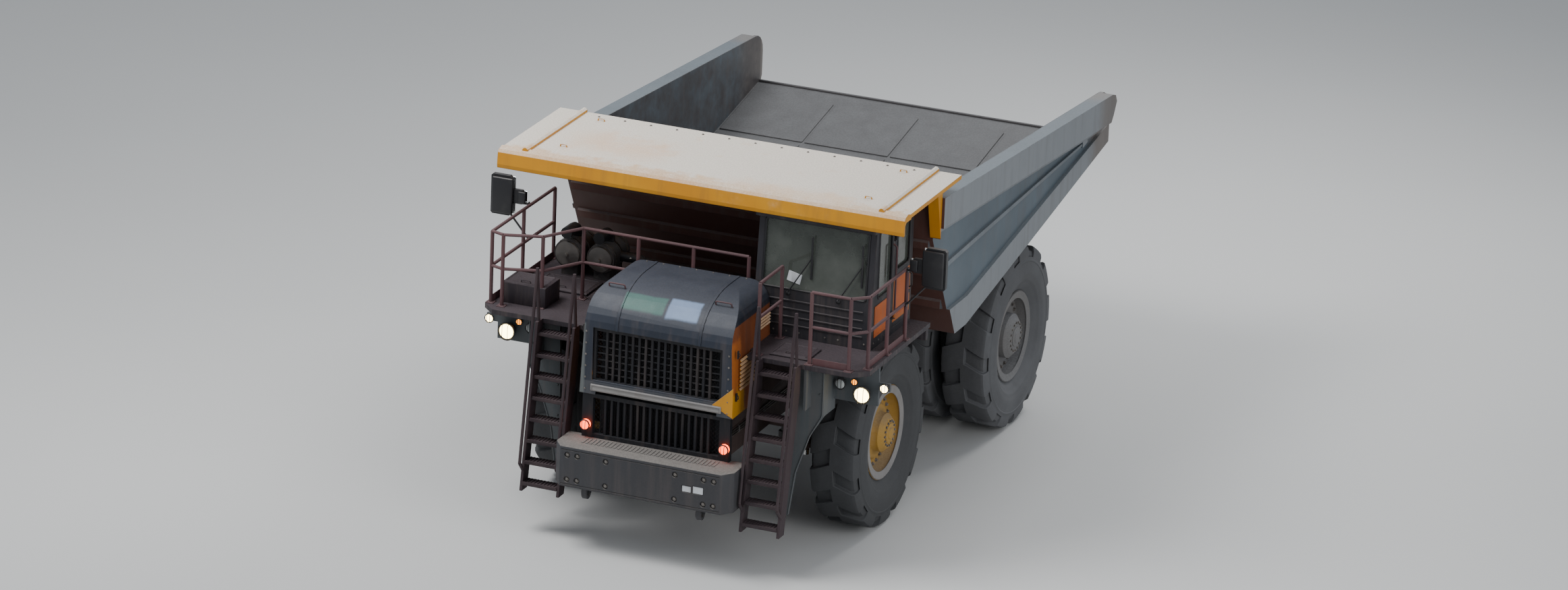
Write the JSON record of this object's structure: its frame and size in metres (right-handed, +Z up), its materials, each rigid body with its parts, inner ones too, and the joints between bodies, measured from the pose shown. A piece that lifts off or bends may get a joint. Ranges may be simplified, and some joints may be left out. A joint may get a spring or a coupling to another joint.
{
  "type": "mining dump truck",
  "caption": "Two-axle rigid mining dump truck with a hoisted rear-tipping bed, canopy over the cab, stairs to a railed deck and twin rear wheels.",
  "frame": {"origin": "on the ground under the middle of the truck, at the bottom centre of its bounding box", "axes": "+Z up, the truck faces -Y, +X is the truck's left-hand side"},
  "size_m": [6.89, 10.6, 5.08],
  "materials": {
    "dark_frame": "dusty dark paint",
    "bumper_paint": "dusty dark grey paint",
    "cast": "rough cast",
    "hood_paint": "satin blue-grey paint, dusty",
    "mesh": "matt black mesh",
    "deck_paint": "anti-slip dark paint",
    "apron_paint": "dusty grey paint",
    "stair_paint": "dusty red-brown paint",
    "rail_paint": "dusty red-orange paint",
    "lamp_white": "lit lens",
    "lamp_red": "lit lens",
    "cab_paint": "dark paint",
    "yellow_paint": "yellow-orange paint, dusty",
    "glass": "tinted",
    "cab_trim": "dark trim",
    "black_plastic": "black",
    "steel_dark": "dusty paint",
    "rod_steel": "ground steel",
    "tyre": "dusty rubber",
    "rim_yellow": "dusty yellow paint",
    "rim_dusty": "dust-covered paint",
    "bed_paint": "worn grey paint, dusty"
  },
  "bodies": {
    "chassis": {"frame": "dark_frame", "bumper": "bumper_paint", "powertrain": "cast", "hood": "hood_paint", "grilles": "mesh", "deck": "deck_paint", "fenders": "apron_paint", "stairs": "stair_paint", "handrails": "rail_paint", "headlamps": "lamp_white", "marker_lamps": "lamp_red", "cab_shell": "cab_paint", "cab_roof": "yellow_paint", "cab_glass": "glass", "cab_interior": "cab_trim", "mirrors": "black_plastic", "air_cleaners": "steel_dark", "tanks": "steel_dark", "struts": "cast", "rear_axle": "cast"},
    "door": {"cab_door": "yellow_paint", "door_glass": "glass"},
    "knuckle_left": {"knuckle_left": "cast"},
    "knuckle_right": {"knuckle_right": "cast"},
    "tie_rod": {"tie_rod": "cast"},
    "steer_barrel_left": {"steer_barrel_left": "steel_dark"},
    "steer_barrel_right": {"steer_barrel_right": "steel_dark"},
    "steer_rod_left": {"steer_rod_left": "rod_steel"},
    "steer_rod_right": {"steer_rod_right": "rod_steel"},
    "front_wheel_left": {"front_tyre_left": "tyre", "front_rim_left": "rim_yellow"},
    "front_wheel_right": {"front_tyre_right": "tyre", "front_rim_right": "rim_yellow"},
    "rear_wheels_left": {"rear_tyres_left": "tyre", "rear_rims_left": "rim_dusty"},
    "rear_wheels_right": {"rear_tyres_right": "tyre", "rear_rims_right": "rim_dusty"},
    "dump_bed": {"bed": "bed_paint", "canopy": "yellow_paint", "bed_beams": "dark_frame"},
    "hoist_barrel_left": {"hoist_barrel_left": "steel_dark"},
    "hoist_barrel_right": {"hoist_barrel_right": "steel_dark"},
    "hoist_stage_left": {"hoist_stage_left": "rod_steel"},
    "hoist_stage_right": {"hoist_stage_right": "rod_steel"},
    "hoist_rod_left": {"hoist_rod_left": "rod_steel"},
    "hoist_rod_right": {"hoist_rod_right": "rod_steel"}
  },
  "joints": [
    {"name": "steer", "type": "hinge", "parent": "chassis", "child": "knuckle_left", "pos_m": [1.35, -2.25, 1.35], "axis": [0, 0, 1], "range_deg": [-39, 39]},
    {"name": "steer_right", "type": "hinge", "parent": "chassis", "child": "knuckle_right", "pos_m": [-1.35, -2.25, 1.35], "axis": [0, 0, 1], "range_deg": [-39, 39]},
    {"name": "tie_rod_pivot", "type": "hinge", "parent": "knuckle_left", "child": "tie_rod", "pos_m": [1.35, -1.8, 1.01], "axis": [0, 0, 1], "range_deg": [-39, 39]},
    {"name": "steer_barrel_left_pivot", "type": "hinge", "parent": "chassis", "child": "steer_barrel_left", "pos_m": [0.8, -2.05, 0.985], "axis": [0, 0, 1], "range_deg": [-11.5, 11.5]},
    {"name": "steer_rod_left_slide", "type": "slide", "parent": "steer_barrel_left", "child": "steer_rod_left", "axis": [0.7266, -0.687, 0], "range_m": [-0.16, 0.16]},
    {"name": "front_wheel_left_spin", "type": "hinge", "parent": "knuckle_left", "child": "front_wheel_left", "pos_m": [2.145, -2.25, 1.35], "axis": [1, 0, 0], "continuous": true},
    {"name": "rear_wheels_left_spin", "type": "hinge", "parent": "chassis", "child": "rear_wheels_left", "pos_m": [1.85, 2.32, 1.35], "axis": [1, 0, 0], "continuous": true},
    {"name": "steer_barrel_right_pivot", "type": "hinge", "parent": "chassis", "child": "steer_barrel_right", "pos_m": [-0.8, -2.05, 0.985], "axis": [0, 0, 1], "range_deg": [-11.5, 11.5]},
    {"name": "steer_rod_right_slide", "type": "slide", "parent": "steer_barrel_right", "child": "steer_rod_right", "axis": [-0.7266, -0.687, 0], "range_m": [-0.16, 0.16]},
    {"name": "front_wheel_right_spin", "type": "hinge", "parent": "knuckle_right", "child": "front_wheel_right", "pos_m": [-2.145, -2.25, 1.35], "axis": [1, 0, 0], "continuous": true},
    {"name": "rear_wheels_right_spin", "type": "hinge", "parent": "chassis", "child": "rear_wheels_right", "pos_m": [-1.85, 2.32, 1.35], "axis": [1, 0, 0], "continuous": true},
    {"name": "bed_lift", "type": "hinge", "parent": "chassis", "child": "dump_bed", "pos_m": [0, 3.65, 1.93], "axis": [-1, 0, 0], "range_deg": [0, 50]},
    {"name": "hoist_left_pivot", "type": "hinge", "parent": "chassis", "child": "hoist_barrel_left", "pos_m": [0.8, 1.4, 0.96], "axis": [-1, 0, 0], "range_deg": [0, 26.5]},
    {"name": "hoist_left_stage", "type": "slide", "parent": "hoist_barrel_left", "child": "hoist_stage_left", "axis": [0, -0.1339, 0.991], "range_m": [0, 0.93]},
    {"name": "hoist_left_rod", "type": "slide", "parent": "hoist_stage_left", "child": "hoist_rod_left", "axis": [0, -0.1339, 0.991], "range_m": [0, 0.93]},
    {"name": "hoist_right_pivot", "type": "hinge", "parent": "chassis", "child": "hoist_barrel_right", "pos_m": [-0.8, 1.4, 0.96], "axis": [-1, 0, 0], "range_deg": [0, 26.5]},
    {"name": "hoist_right_stage", "type": "slide", "parent": "hoist_barrel_right", "child": "hoist_stage_right", "axis": [0, -0.1339, 0.991], "range_m": [0, 0.93]},
    {"name": "hoist_right_rod", "type": "slide", "parent": "hoist_stage_right", "child": "hoist_rod_right", "axis": [0, -0.1339, 0.991], "range_m": [0, 0.93]},
    {"name": "cab_door_hinge", "type": "hinge", "parent": "chassis", "child": "door", "pos_m": [2.626, -2.674, 3.8], "axis": [0, 0, -1], "range_deg": [0, 80]}
  ],
  "couplings": [
    {"joint": "steer_right", "follows": "steer", "ratio": 1},
    {"joint": "tie_rod_pivot", "follows": "steer", "ratio": -1},
    {"joint": "steer_barrel_left_pivot", "follows": "steer", "ratio": 0.28008},
    {"joint": "steer_barrel_right_pivot", "follows": "steer", "ratio": 0.28008},
    {"joint": "steer_rod_left_slide", "follows": "steer", "m_per_rad": 0.22822},
    {"joint": "steer_rod_right_slide", "follows": "steer", "m_per_rad": -0.22822},
    {"joint": "hoist_left_pivot", "follows": "bed_lift", "ratio": 0.5251},
    {"joint": "hoist_left_stage", "follows": "bed_lift", "m_per_rad": 1.063},
    {"joint": "hoist_left_rod", "follows": "bed_lift", "m_per_rad": 1.063},
    {"joint": "hoist_right_pivot", "follows": "bed_lift", "ratio": 0.5251},
    {"joint": "hoist_right_stage", "follows": "bed_lift", "m_per_rad": 1.063},
    {"joint": "hoist_right_rod", "follows": "bed_lift", "m_per_rad": 1.063}
  ]
}
